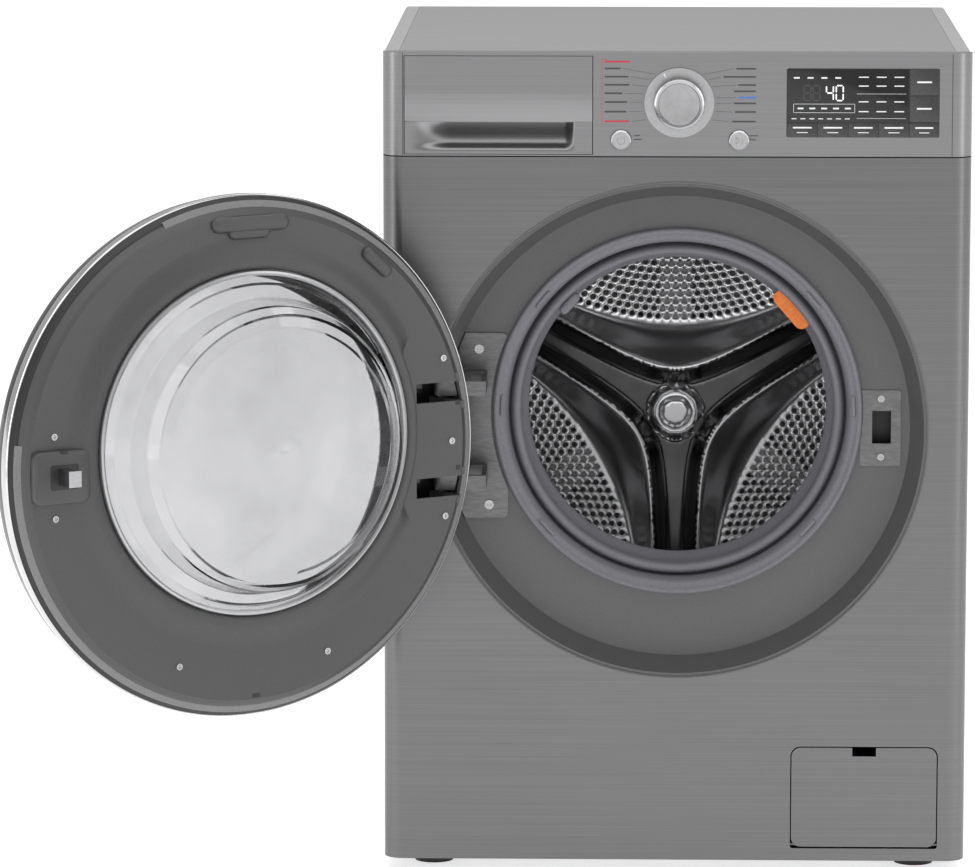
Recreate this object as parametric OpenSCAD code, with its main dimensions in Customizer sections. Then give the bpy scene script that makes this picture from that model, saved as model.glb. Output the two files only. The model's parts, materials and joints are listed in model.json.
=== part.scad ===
// Compact front loading washing machine, modelled with its door open.
// Millimetres. The origin is the centre of the cabinet's footprint on the floor,
// x to the right seen from the front, y to the back, z up.

/* [Cabinet] */
// Width of the cabinet
body_w = 600; // [598:1:602]
// Depth of the cabinet without the door
body_d = 590; // [588:1:600]
// Height from the floor to the worktop
body_h = 850; // [848:1:860]
// Gap between the floor and the cabinet
foot_h = 13; // [12:1:14]
// Thickness of the sheet steel
sheet_t = 1.2; // [1:0.1:1.4]
// Radius of the upright front corners
corner_r = 20; // [18:1:22]

/* [Loading port] */
// Height of the door's centre
port_z = 462; // [461:1:463]
// Offset of the door's centre to the right
port_x = 2; // [1:0.5:3]
// Radius of the dished surround at the front
dish_r = 255; // [254:0.5:256]
// Height of the gasket's centre
gasket_z = 478; // [477:1:479]
// Radius of the gasket's mouth
mouth_r = 156; // [155:0.5:158]

/* [Door] */
// Radius of the door's bright ring
door_r = 263; // [262:0.5:264]
// Angle the door stands open
door_open = 148; // [0:1:148]

/* [Tub and drum] */
// Downward tilt of the drum's axis towards the back
tilt = 8.46; // [8:0.1:9]
// Inner radius of the tub
tub_r = 255; // [254:1:256]
// Inner radius of the drum
drum_r = 240; // [236:1:241]
// Number of lifters in the drum
lifters_n = 3; // [2:1:4]

/* [Controls] */
// Radius of the program knob
knob_r = 26.2; // [24:0.2:27]
// Radius of the round buttons
button_r = 10.5; // [9:0.1:10.7]

/* [Hidden] */
$fn = 96;

// cabinet
front_y = -body_d / 2;
rear_y = body_d / 2;
side_x = body_w / 2;
corner_y = front_y + corner_r + 3;
seam_z = 744;
panel_t = 2.5;
fascia_z0 = seam_z + 0.8;
top_z0 = 824;
trim_w = 16.5;
rear_open = [-200, 200, 130, 700];
transit_hole = 9;
transit_xz = [[-235, 620], [235, 620], [-235, 180], [235, 180]];
foot_x = 250;
foot_y = 235;
foot_pad_r = 20;
foot_stud_r = 5;
running = 0.05;

// surround
dish_wall_r = 239;
dish_depth = 33;
dish_t = 2.5;
hole_r = 186;
ring_y = front_y + dish_depth;

// hinge, in the cabinet
hinge_x = -239;
hinge_y = -327;
arm_zs = [414, 511];
arm_half = 7.5;
arm_t = 5;
arm_bar_y = hinge_y - 6;
arm_leg_x = -196;
eye_r = 8;
pin_r = 4;
bracket_screw_xz = [[-202, 542.4], [-191.8, 380.5]];
lock_screw_xz = [[211, 492], [211, 431.5]];
bracket = [-222.7, -172.3, 366.6, 558.8];

// lock behind the surround
lock_slot = [201, 222];
lock_slot_half = 18;
strike = [189.5, 231.4, 422, 500.6];
strike_slot = [202, 221.4, 445.3, 479.2];

// door, in its closed place
face_y = front_y + 6;
face_r = 248;
glass_r = 175;
slot_half = 10;
seat = [200, 232];
seat_half = 12;
hook_x = 214;
door_screw_xz = [
  [4, 685.8], [219.5, 500.3], [219, 419], [-219, 547.4], [-229, 462], [-221, 385.5],
  [-84, 259.2], [84, 259.2]
];

// tub and drum, measured along the drum's axis from its reference point
axis_y = -240;
axis_z = 474.5;
tub_s0 = 32;
tub_s1 = 446;
tub_t = 4;
tub_wall = 6;
tub_split = 220;
neck_r = 180;
drum_s0 = 45;
drum_s1 = 416;
drum_mouth_r = 168;
shaft_r = 17.5;
rotor_r = 140;

// detergent drawer
drawer_x0 = -268;
drawer_x1 = -98;
drawer_front_x0 = -277.3;
drawer_front_x1 = -86.3;
drawer_z0 = 765;
drawer_z1 = 818;

// knob and buttons
knob_z = 799.6;
button_xs = [-57, 63];
button_z = 761;
display = [111, 266, 764.6, 834.6];

// filter flap and pump
flap = [121, 270.6, 28.2, 132.4];
flap_pin_y = front_y + 3.5;
flap_pin_z = 30.2;
flap_corner_r = 9.5;
pump_x = 196;
pump_z = 82;
pump_neck = 62;

// rear connections
valve_xs = [-235, -185];
valve_z = 770;
valve_mid_x = -210;
feed_z = 797;
thread_r = 13.2;
outlet_x = 225;
outlet_z = 760;
outlet_r = 10;
gland_x = 150;
gland_z = 760;

// suspension
spring_x = 235;
spring_y = 60;
damper_x = 150;
damper_y = 0;
brace_z = 785;
sump_out_y = 20;

steel = "silver";
dark = "dimgray";
rubber = "slategray";

// ---------- helpers ----------

module slab(x0, x1, y0, y1, z0, z1) {
  translate([x0, y0, z0]) cube([x1 - x0, y1 - y0, z1 - z0]);
}

module tube(ro, ri, h) {
  difference() {
    cylinder(r = ro, h = h);
    translate([0, 0, -1]) cylinder(r = ri, h = h + 2);
  }
}

// local z runs from y = 0 towards the back, local y points down
module facing_back(x, z) {
  translate([x, 0, z]) rotate([-90, 0, 0]) children();
}

// local z runs down the tilted drum axis, local -y points up
module on_drum_axis() {
  translate([port_x, axis_y, axis_z]) rotate([-90 - tilt, 0, 0]) children();
}

// turns the door's pieces from their closed place to the open one
module as_opened() {
  translate([hinge_x, hinge_y, 0]) rotate([0, 0, -door_open])
    translate([-hinge_x, -hinge_y, 0]) children();
}

// plan of the front with its two round corners
module front_plan(grow) {
  r = corner_r - grow;
  w = side_x - corner_r;
  intersection() {
    union() {
      translate([-w, front_y + grow]) square([2 * w, corner_r + 3 - grow]);
      for (s = [-1, 1]) translate([s * w, front_y + corner_r]) circle(r = r);
      translate([-side_x + grow, front_y + corner_r]) square([body_w - 2 * grow, 3]);
    }
    translate([-side_x, front_y]) square([body_w, corner_r + 3]);
  }
}

// a skin of that plan, open at the back
module front_skin(t, z0, z1) {
  translate([0, 0, z0]) linear_extrude(height = z1 - z0) difference() {
    front_plan(0);
    front_plan(t);
    translate([-side_x + t, corner_y - 1]) square([body_w - 2 * t, 3]);
  }
}

module rounded_plate(x0, x1, z0, z1, r, y0, y1) {
  facing_back(0, 0) translate([0, 0, y0]) linear_extrude(height = y1 - y0) union() {
    translate([x0 + r, -z1]) square([x1 - x0 - 2 * r, z1 - z0]);
    translate([x0, -z1 + r]) square([x1 - x0, z1 - z0 - 2 * r]);
    for (x = [x0 + r, x1 - r], z = [z0 + r, z1 - r]) translate([x, -z]) circle(r = r);
  }
}

// a cross-head screw, its head towards the front
module screw(x, y, z, head_r, length) {
  facing_back(x, z) translate([0, 0, y]) difference() {
    union() {
      cylinder(r = head_r, h = 2);
      cylinder(r = head_r * 0.5, h = length);
    }
    for (a = [0, 90]) rotate([0, 0, a]) translate([-head_r * 0.6, -0.5, -1]) cube([head_r * 1.2, 1, 2]);
  }
}

// ---------- cabinet ----------

module cabinet_shell() {
  color(steel) difference() {
    union() {
      for (s = [-1, 1]) {
        slab(min(s * side_x, s * (side_x - sheet_t)), max(s * side_x, s * (side_x - sheet_t)),
             corner_y + 0.3, rear_y, foot_h, top_z0 - 0.2);
        // inward flange behind the front panel
        slab(min(s * (side_x - 1), s * (side_x - 16)), max(s * (side_x - 1), s * (side_x - 16)),
             corner_y + 0.3, corner_y + 1.5, foot_h + 1.8, top_z0 - 0.2);
      }
      slab(-side_x, side_x, rear_y - sheet_t, rear_y, foot_h, top_z0 - 0.2);
    }
    slab(rear_open[0], rear_open[1], rear_y - 5, rear_y + 1, rear_open[2], rear_open[3]);
    for (p = transit_xz)
      facing_back(p[0], p[1]) translate([0, 0, rear_y - 5]) cylinder(r = transit_hole, h = 10);
    for (x = valve_xs) facing_back(x, valve_z) translate([0, 0, rear_y - 5]) cylinder(r = 16, h = 10);
    facing_back(outlet_x, outlet_z) translate([0, 0, rear_y - 5]) cylinder(r = 14, h = 10);
    facing_back(gland_x, gland_z) translate([0, 0, rear_y - 5]) cylinder(r = 9, h = 10);
  }
}

module rear_cover() {
  x0 = rear_open[0] - 14;
  x1 = rear_open[1] + 14;
  z0 = rear_open[2] - 14;
  z1 = rear_open[3] + 14;
  color(steel) difference() {
    union() {
      rounded_plate(x0, x1, z0, z1, 12, rear_y + 0.1, rear_y + 1.3);
      rounded_plate(x0 + 24, x1 - 24, z0 + 24, z1 - 24, 30, rear_y + 1, rear_y + 7);
    }
    rounded_plate(x0 + 26, x1 - 26, z0 + 26, z1 - 26, 28, rear_y, rear_y + 5.8);
  }
}

module base_frame() {
  w = side_x - 3;
  d0 = front_y + 6;
  d1 = rear_y - 4;
  color(dark) difference() {
    union() {
      slab(-w, w, corner_y, d1, foot_h, foot_h + 1.5);
      slab(corner_r - side_x, side_x - corner_r, d0, corner_y + 1, foot_h, foot_h + 1.5);
      for (s = [-1, 1]) slab(s * w - (s + 1) * 1.5, s * w - (s - 1) * 1.5, corner_y + 4, d1, foot_h, 45);
      slab(-w, w, d1 - 3, d1, foot_h, 45);
      for (x = [-1, 1], y = [-1, 1]) translate([x * foot_x, y * foot_y, foot_h]) cylinder(r = 14, h = 22);
    }
    for (x = [-1, 1], y = [-1, 1]) translate([x * foot_x, y * foot_y, 0])
      cylinder(r = foot_stud_r + running, h = 60);
  }
}

module top_plate() {
  w = side_x - trim_w - 0.3;
  color(steel) difference() {
    slab(-w, w, corner_y + 0.5, rear_y, top_z0, body_h);
    slab(-w + 2, w - 2, corner_y + 2.5, rear_y - 2, top_z0 - 1, body_h - 2);
  }
}

module top_trims() {
  r = 5;
  groove_y = 40;
  color(steel) for (s = [-1, 1]) difference() {
    translate([0, corner_y + 0.5, 0]) rotate([-90, 0, 0])
      linear_extrude(height = rear_y - corner_y - 0.5) union() {
      translate([s > 0 ? side_x - trim_w : -side_x + r, -body_h]) square([trim_w - r, body_h - top_z0]);
      translate([s > 0 ? side_x - trim_w : -side_x, -body_h + r]) square([trim_w, body_h - top_z0 - r]);
      translate([s * (side_x - r), -body_h + r]) circle(r = r);
    }
    slab(s * side_x - 20, s * side_x + 20, groove_y, groove_y + 0.8, body_h - 1, body_h + 1);
  }
}

module front_panel() {
  ear_x = 3.4;
  color(steel) difference() {
    union() {
      front_skin(sheet_t, foot_h + 0.5, seam_z - 0.4);
      // ears that carry the filter cover's pins
      for (x = [flap[0] - 1.6 - ear_x, flap[1] + 1.6])
        slab(x, x + ear_x, front_y + 1, front_y + 9, flap_pin_z - 4, flap_pin_z + 5);
    }
    facing_back(port_x, port_z) translate([0, 0, front_y - 5]) cylinder(r = dish_r + 0.6, h = 20);
    rounded_plate(flap[0] - 1.2, flap[1] + 1.2, flap[2] - 1.8, flap[3] + 1.2, flap_corner_r + 1,
                  front_y - 1, front_y + 3);
    // tighter lower corners, so that the flap's lower edge can turn in
    rounded_plate(flap[0] - 1.2, flap[1] + 1.2, flap[2] - 1.8, flap[2] + 30, 3, front_y - 1, front_y + 3);
    translate([flap[0] - 10, flap_pin_y, flap_pin_z]) rotate([0, 90, 0])
      cylinder(r = 1.5 + running, h = flap[1] - flap[0] + 20);
  }
}

module door_surround() {
  color(dark) difference() {
    facing_back(port_x, port_z) translate([0, 0, front_y]) rotate_extrude() polygon([
      [dish_r, 0], [dish_r, 6], [dish_wall_r + 2.5, dish_depth + dish_t],
      [hole_r - 30, dish_depth + dish_t], [hole_r - 30, dish_depth],
      [dish_wall_r, dish_depth], [dish_r - 3, 0]
    ]);
    facing_back(port_x, gasket_z) translate([0, 0, ring_y - 5]) cylinder(r = hole_r, h = 20);
    // slot for the latch hook
    slab(lock_slot[0], lock_slot[1], ring_y - 5, ring_y + 10, port_z - lock_slot_half,
         port_z + lock_slot_half);
    // screw holes
    for (p = lock_screw_xz) facing_back(p[0], p[1]) translate([0, 0, ring_y - 5]) cylinder(r = 2, h = 20);
    for (p = bracket_screw_xz)
      facing_back(p[0], p[1]) translate([0, 0, ring_y - 5]) cylinder(r = 2.5, h = 20);
  }
}

module control_panel() {
  fy = front_y;
  color(steel) difference() {
    union() {
      front_skin(panel_t, fascia_z0, body_h - 2.4);
      translate([0, 0, body_h - 2.5]) linear_extrude(height = 2.5) front_plan(0);
    }
    slab(drawer_front_x0 - 0.8, drawer_front_x1 + 0.8, fy - 1, fy + 10, fascia_z0 + 1.4, body_h - 3);
    facing_back(port_x, knob_z) translate([0, 0, fy - 1]) cylinder(r = 24, h = 10);
    for (x = button_xs)
      facing_back(x, button_z) translate([0, 0, fy - 1]) cylinder(r = button_r + 0.4, h = 10);
    slab(display[0] + 1, display[1] - 1, fy - 1, fy + 10, display[2] + 1, display[3] - 1);
  }
}

module display_window() {
  color("black") union() {
    rounded_plate(display[0], display[1], display[2], display[3], 1.5, front_y - 0.8, front_y - 0.1);
    rounded_plate(display[0] + 1.4, display[1] - 1.4, display[2] + 1.4, display[3] - 1.4, 1, front_y - 0.2,
                  front_y + 8);
  }
}

module knob_bezel() {
  color("gainsboro") facing_back(port_x, knob_z) translate([0, 0, front_y - 2.5]) difference() {
    union() {
      cylinder(r = 35.4, h = 2.4);
      translate([0, 0, 2]) cylinder(r = 23, h = 12);
    }
    translate([0, 0, -1]) cylinder(r = 4 + running, h = 30);
  }
}

module program_knob() {
  color("silver") facing_back(port_x, knob_z) difference() {
    union() {
      translate([0, 0, front_y - 20]) cylinder(r = knob_r, h = 17);
      translate([0, 0, front_y - 4]) cylinder(r = 4, h = 22);
    }
    translate([0, 0, front_y - 21]) cylinder(r = knob_r - 5, h = 2.2);
  }
}

module round_button(x) {
  color("gainsboro") facing_back(x, button_z) union() {
    translate([0, 0, front_y - 2.2]) cylinder(r = button_r, h = 6);
    translate([0, 0, front_y + 3]) cylinder(r = 5, h = 6);
  }
}

module power_button() { round_button(button_xs[0]); }
module start_button() { round_button(button_xs[1]); }

module drawer_housing() {
  t = 2.5;
  x0 = drawer_x0 - 6;
  x1 = drawer_x1 + 6;
  y0 = front_y + 26;
  y1 = 12;
  z0 = 752;
  z1 = 822;
  color("whitesmoke") difference() {
    slab(x0, x1, y0, y1, z0, z1);
    slab(x0 + t, x1 - t, y0 - 1, y1 - t, z0 + t, z1 - t);
    translate([-180, -70, z0 - 1]) cylinder(r = 13, h = 10);
    facing_back(valve_mid_x, feed_z) translate([0, 0, y1 - 5]) cylinder(r = 8, h = 10);
  }
  // outlet neck
  color("whitesmoke") translate([-180, -70, z0 - 18]) tube(16, 13, 18);
}

module door_lock() {
  color("black") difference() {
    slab(192, 232, ring_y + dish_t + 0.4, ring_y + dish_t + 24, port_z - 38, port_z + 38);
    slab(lock_slot[0], lock_slot[1], ring_y, ring_y + dish_t + 21, port_z - lock_slot_half,
         port_z + lock_slot_half);
    for (p = lock_screw_xz) facing_back(p[0], p[1]) translate([0, 0, ring_y]) cylinder(r = 2, h = 16);
  }
}

module strike_plate() {
  color("silver") difference() {
    rounded_plate(strike[0], strike[1], strike[2], strike[3], 3, ring_y - 1.4, ring_y - 0.1);
    slab(strike_slot[0], strike_slot[1], ring_y - 5, ring_y + 5, strike_slot[2], strike_slot[3]);
    for (p = lock_screw_xz) facing_back(p[0], p[1]) translate([0, 0, ring_y - 5]) cylinder(r = 2, h = 10);
    facing_back(port_x, gasket_z) translate([0, 0, ring_y - 5]) cylinder(r = 190.5, h = 10);
  }
}

module hinge_arm(z) {
  translate([0, 0, z - arm_half]) difference() {
    union() {
      translate([hinge_x, hinge_y, 0]) cylinder(r = eye_r, h = 2 * arm_half);
      slab(hinge_x - 1, arm_leg_x + arm_t / 2, arm_bar_y - arm_t / 2, arm_bar_y + arm_t / 2, 0, 2 * arm_half);
      slab(arm_leg_x - arm_t / 2, arm_leg_x + arm_t / 2, arm_bar_y, ring_y - 2, 0, 2 * arm_half);
    }
    translate([hinge_x, hinge_y, -1]) cylinder(r = pin_r + running, h = 2 * arm_half + 2);
  }
}

module hinge_bracket() {
  color("silver") difference() {
    union() {
      intersection() {
        rounded_plate(bracket[0], bracket[1], bracket[2], bracket[3], 7, ring_y - 3, ring_y - 0.1);
        facing_back(port_x, port_z) translate([0, 0, ring_y - 10]) cylinder(r = dish_wall_r - 0.3, h = 20);
      }
      for (z = arm_zs) {
        hinge_arm(z);
        // web over the arm's root
        slab(-218, arm_leg_x, ring_y - 18, ring_y - 2, z + arm_half - 0.5, z + arm_half + 2.5);
      }
    }
    facing_back(port_x, gasket_z) translate([0, 0, ring_y - 60]) cylinder(r = 192, h = 70);
    for (p = bracket_screw_xz)
      facing_back(p[0], p[1]) translate([0, 0, ring_y - 5]) cylinder(r = 2.5, h = 10);
  }
}

module panel_screws() {
  color("silver") union() {
    for (p = bracket_screw_xz) screw(p[0], ring_y - 5.2, p[1], 4.8, 12);
    for (p = lock_screw_xz) screw(p[0], ring_y - 3.6, p[1], 3.6, 14);
    // rear cover screws, heads to the back
    for (x = [-207, 207], z = [140, 300, 530, 690]) translate([x, 0, z]) rotate([0, 0, 180])
      screw(0, -rear_y - 3.4, 0, 4, 8);
  }
}

module gasket_lip() {
  color(rubber) facing_back(port_x, gasket_z) rotate_extrude() polygon([
    [mouth_r, -262], [mouth_r + 1.5, -266], [mouth_r + 6, -268.5], [182, -270], [187, -269.5],
    [189.5, -267], [189.5, ring_y - 0.3], [hole_r - 0.5, ring_y - 0.3], [hole_r - 0.5, -243],
    [181, -243], [181, -257], [mouth_r + 6, -257], [mouth_r + 1.5, -258.5]
  ]);
}

// an oval spray head on the upper right of the gasket, in front of its inner lip
module spray_nozzle() {
  half = 16;
  r = 8;
  depth = 9;
  from_centre = 155;
  angle = 41;
  x = port_x + from_centre * cos(angle);
  z = gasket_z + from_centre * sin(angle);
  color("orange") translate([x, -232, z]) rotate([0, 90 - angle, 0]) rotate([-90, 0, 0]) union() {
    for (e = [-half, half]) translate([e, 0, 0]) cylinder(r = r, h = depth);
    translate([-half, -r, 0]) cube([2 * half, 2 * r, depth]);
  }
}

module drain_pump() {
  color("darkgray") facing_back(pump_x, pump_z) difference() {
    union() {
      translate([0, 0, -284]) cylinder(r = 33, h = 86);
      translate([0, 0, -199]) cylinder(r = 40, h = 32);
      translate([0, 0, -168]) cylinder(r = 27, h = 46);
      // inlet neck from the sump
      translate([-20, 0, -235]) rotate([0, -90, 0]) cylinder(r = 17, h = pump_neck - 20);
      // outlet neck
      translate([-20, -24, -183]) rotate([90, 0, 0]) cylinder(r = 11, h = 40);
      // feet down to the base
      for (x = [-30, 20]) translate([x, 20, -270]) cube([10, pump_z - foot_h - 1.5 - 20 - 0.2, 60]);
    }
    translate([0, 0, -285]) cylinder(r = 28.5, h = 85);
    translate([0, 0, -201]) cylinder(r = 35, h = 31);
    translate([-20, 0, -235]) rotate([0, -90, 0]) cylinder(r = 13.5, h = pump_neck);
    translate([-20, -20, -183]) rotate([90, 0, 0]) cylinder(r = 8, h = 50);
    translate([0, 0, -172]) cylinder(r = 3 + running, h = 20);
  }
}

module drain_filter() {
  color("whitesmoke") facing_back(pump_x, pump_z) union() {
    translate([0, 0, -286]) cylinder(r = 27.8, h = 7);
    translate([-20, -3, -290.5]) cube([40, 6, 5]);
    difference() {
      translate([0, 0, -280]) cylinder(r = 24, h = 62);
      translate([0, 0, -277]) cylinder(r = 21.5, h = 62);
      translate([-6, -30, -270]) cube([12, 60, 40]);
      translate([-30, -6, -270]) cube([60, 12, 40]);
    }
  }
}

module pump_impeller() {
  color("white") facing_back(pump_x, pump_z) translate([0, 0, -197]) union() {
    cylinder(r = 8, h = 22);
    cylinder(r = 3, h = 40);
    for (a = [0 : 60 : 300]) rotate([0, 0, a]) translate([6, -1, 4]) cube([22, 2, 16]);
  }
}

module drain_outlet() {
  color("darkgray") union() {
    // spigot through the rear wall
    facing_back(outlet_x, outlet_z) translate([0, 0, 262]) difference() {
      union() {
        cylinder(r = outlet_r, h = 62);
        translate([0, 0, 28]) cylinder(r = 13.5, h = 3.5);
      }
      translate([0, 0, -1]) cylinder(r = outlet_r - 2.5, h = 80);
    }
  }
}

module inlet_valves() {
  color("whitesmoke") union() {
    for (x = valve_xs) facing_back(x, valve_z) union() {
      difference() {
        union() {
          translate([0, 0, 232]) cylinder(r = 15, h = 61);
          translate([0, 0, 290]) cylinder(r = thread_r, h = 22);
        }
        translate([0, 0, 240]) cylinder(r = 9, h = 90);
      }
      // solenoid
      translate([-14, 10, 238]) cube([28, 30, 34]);
    }
    // manifold that joins the two valves
    slab(valve_xs[0], valve_xs[1], 222, 242, valve_z - 8, valve_z + 8);
  }
}

// a round hose through a list of points, with an elbow at each bend a little thicker than the hose
module hose(points, r) {
  for (i = [0 : len(points) - 2]) {
    step = points[i + 1] - points[i];
    translate(points[i]) rotate([0, acos(step[2] / norm(step)), atan2(step[1], step[0])])
      cylinder(r = r, h = norm(step), $fn = 24);
  }
  for (i = [1 : 1 : len(points) - 2]) translate(points[i]) sphere(r = r + 1.5, $fn = 24);
}

module internal_hoses() {
  color(rubber) union() {
    // valve manifold to the drawer housing
    hose([[valve_mid_x, 12.3, feed_z], [valve_mid_x, 232, feed_z], [valve_mid_x, 232, valve_z + 8.3]], 7);
    // pump to the rear outlet, up beside the tub
    hose([[pump_x - 20, -183, 146.4], [pump_x - 20, -183, 190], [286, -100, 190], [286, 215, 190],
          [286, 215, outlet_z], [outlet_x, 235, outlet_z], [outlet_x, 261.8, outlet_z]], 9);
    // sump to the pump, with a sleeve around the sump's stub
    hose([[pump_x - pump_neck - 0.3, -235, pump_z], [110, -235, pump_z], [0, sump_out_y, 60],
          [0, sump_out_y, 84]], 13);
    translate([0, sump_out_y, 80]) difference() {
      cylinder(r = 15.5, h = 40);
      translate([0, 0, 4]) cylinder(r = 12.5, h = 40);
    }
  }
}

module cord_gland() {
  color("black") facing_back(gland_x, gland_z) translate([0, 0, rear_y - 12]) difference() {
    union() {
      cylinder(r = 8.8, h = 12);
      translate([0, 0, 12.1]) cylinder(r = 13, h = 5);
      translate([0, 0, 11]) cylinder(r = 7, h = 2);
    }
    translate([0, 0, -1]) cylinder(r = 4, h = 30);
  }
}

module transit_caps() {
  color("whitesmoke") for (p = transit_xz) facing_back(p[0], p[1]) translate([0, 0, rear_y]) union() {
    translate([0, 0, 0.1]) cylinder(r = 14, h = 3);
    translate([0, 0, -8]) tube(transit_hole - 0.2, 6, 8.5);
  }
}

module cross_braces() {
  w = side_x - sheet_t - 0.2;
  color(steel) union() {
    difference() {
      slab(-w, w, spring_y - 15, spring_y + 15, brace_z, brace_z + 28);
      slab(-w - 1, w + 1, spring_y - 13, spring_y + 13, brace_z + 2, brace_z + 40);
      for (s = [-1, 1]) translate([s * spring_x, spring_y, brace_z - 5]) cylinder(r = 4, h = 20);
      facing_back(valve_mid_x, feed_z) translate([0, 0, spring_y - 20]) cylinder(r = 8.2, h = 40);
    }
    // front brace over the loading port, behind the fascia
    slab(-70, w - 3, corner_y + 4, corner_y + 24, 815, 818);
  }
}

module main_board() {
  color("darkgreen") difference() {
    slab(60, 250, -262, -212, 770, 812);
    slab(64, 246, -258, -216, 774, 820);
  }
  color("green") slab(66, 244, -256, -218, 778, 780);
}

module damper_cylinders() {
  color("darkgray") for (s = [-1, 1]) translate([s * damper_x, damper_y, foot_h + 1.6]) difference() {
    union() {
      cylinder(r = 15, h = 126);
      cylinder(r = 22, h = 5);
    }
    translate([0, 0, 8]) cylinder(r = 10.3, h = 130);
  }
}

module damper_rods() {
  color("dimgray") for (s = [-1, 1]) translate([s * damper_x, damper_y, 0]) union() {
    translate([0, 0, 60]) cylinder(r = 10, h = 140);
    // head that is pinned to the tub's lug
    slab(-12, 12, -9, 9, 196, 214);
  }
}

module suspension_springs() {
  color("silver") for (s = [-1, 1]) translate([s * spring_x, spring_y, 0]) union() {
    translate([0, 0, 622]) tube(14, 10, 146);
    translate([0, 0, 606]) cylinder(r = 2, h = 20);
    translate([0, 0, 764]) cylinder(r = 2, h = 24);
    for (z = [619, 767]) translate([0, 0, z]) cylinder(r = 14, h = 3);
    translate([0, 0, 788]) cylinder(r = 6, h = 4);
  }
}

module levelling_foot(x, y) {
  color("black") translate([x, y, 0]) union() {
    cylinder(r = foot_pad_r, h = 7);
    cylinder(r = 9, h = foot_h - 0.2, $fn = 6);
    cylinder(r = foot_stud_r, h = 52);
  }
}

module foot_front_left() { levelling_foot(-foot_x, -foot_y); }
module foot_front_right() { levelling_foot(foot_x, -foot_y); }
module foot_rear_left() { levelling_foot(-foot_x, foot_y); }
module foot_rear_right() { levelling_foot(foot_x, foot_y); }

// ---------- tub ----------

module tub_front() {
  ro = tub_r + tub_t;
  color("lightgray") difference() {
    on_drum_axis() rotate_extrude() polygon([
      [neck_r, tub_s0 - 18], [neck_r, tub_s0 + tub_t], [tub_r, tub_s0 + tub_t], [tub_r, tub_split],
      [ro + 8, tub_split], [ro + 8, tub_split - 6], [ro, tub_split - 6], [ro, tub_s0],
      [neck_r + tub_t, tub_s0], [neck_r + tub_t, tub_s0 - 18]
    ]);
    // the neck ends upright, behind the gasket's lip
    facing_back(port_x, gasket_z) translate([0, 0, -300]) cylinder(r = 192, h = 66);
  }
}

module tub_rear() {
  ro = tub_r + tub_t;
  sump_y = 288;
  color("lightgray") union() {
    on_drum_axis() difference() {
      union() {
        rotate_extrude() polygon([
          [shaft_r + 14, tub_s1], [tub_r, tub_s1], [tub_r, tub_split + 0.2], [ro + 8, tub_split + 0.2],
          [ro + 8, tub_split + 6], [ro, tub_split + 6], [ro, tub_s1 + tub_wall], [80, tub_s1 + tub_wall],
          [50, tub_s1 + 11.6], [50, tub_s1 + 34], [shaft_r + 14, tub_s1 + 34]
        ]);
        // sump under the drum
        translate([-55, 240, 250]) cube([110, sump_y - 240, tub_s1 + tub_wall - 250]);
        // radial ribs on the back
        for (a = [15 : 30 : 345]) rotate([0, 0, a]) translate([146, -2, tub_s1 + 2]) cube([110, 4, 16]);
      }
      difference() {
        translate([-51, 200, 254]) cube([102, sump_y - 204, tub_s1 - 254]);
      }
      translate([0, 0, tub_split + 0.2]) cylinder(r = tub_r, h = tub_s1 - tub_split - 0.2);
      // heater opening
      translate([-32, 258, tub_s1 - 2]) cube([64, 20, 20]);
    }
    // spring lugs
    for (s = [-1, 1]) difference() {
      slab(s * spring_x - 6, s * spring_x + 6, spring_y - 12, spring_y + 12, 528, 606);
      on_drum_axis() translate([0, 0, 100]) cylinder(r = tub_r + 1, h = 300);
    }
    // stub under the sump
    translate([0, sump_out_y, 100]) difference() {
      tube(11, 8, 60);
      translate([0, -sump_out_y, -100]) on_drum_axis()
        translate([-51, 200, 254]) cube([102, sump_y - 204, 192]);
    }
    // damper lugs
    for (s = [-1, 1]) difference() {
      slab(s * damper_x - 14, s * damper_x + 14, damper_y - 9, damper_y + 9, 214.2, 245);
      on_drum_axis() translate([0, 0, 100]) cylinder(r = tub_r + 1, h = 300);
    }
  }
}

module gasket_bellows() {
  front = -238;
  color(rubber) union() {
    // sleeve clamped around the tub's neck
    intersection() {
      on_drum_axis() translate([0, 0, tub_s0 - 45]) tube(neck_r + 8, neck_r + tub_t + 0.2, 44.8);
      slab(-250, 250, front, 0, 200, 800);
    }
    // inner lip that leads the washing into the drum
    facing_back(port_x, gasket_z) rotate_extrude() polygon([
      [neck_r + 6, front], [neck_r + 6, front + 3.6], [neck_r - 1, front + 3.6], [158.5, -211],
      [156, -211], [155, -213.5], [156, -216], [neck_r - 2, front]
    ]);
  }
}

module top_counterweight() {
  color("darkgray") difference() {
    slab(-70, 190, -150, 30, 640, 776);
    on_drum_axis() translate([0, 0, -100]) cylinder(r = tub_r + tub_t + 0.2, h = 500);
    on_drum_axis() translate([0, 0, tub_split - 8]) cylinder(r = tub_r + 14, h = 16);
  }
}

module lower_counterweight() {
  color("darkgray") difference() {
    slab(-130, 130, -228, -130, 136, 260);
    on_drum_axis() translate([0, 0, -100]) cylinder(r = tub_r + tub_t + 0.2, h = 600);
  }
}

module stator() {
  color("goldenrod") on_drum_axis() translate([0, 0, tub_s1 + 12]) union() {
    tube(110, 50.2, 22);
    for (a = [0 : 10 : 350]) rotate([0, 0, a]) translate([108, -6, 1]) cube([22, 12, 20]);
  }
}

module bearings() {
  color("silver") on_drum_axis() union() {
    for (s = [tub_s1 + 1, tub_s1 + 20]) translate([0, 0, s]) tube(shaft_r + 14, shaft_r + running, 13);
  }
}

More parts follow.
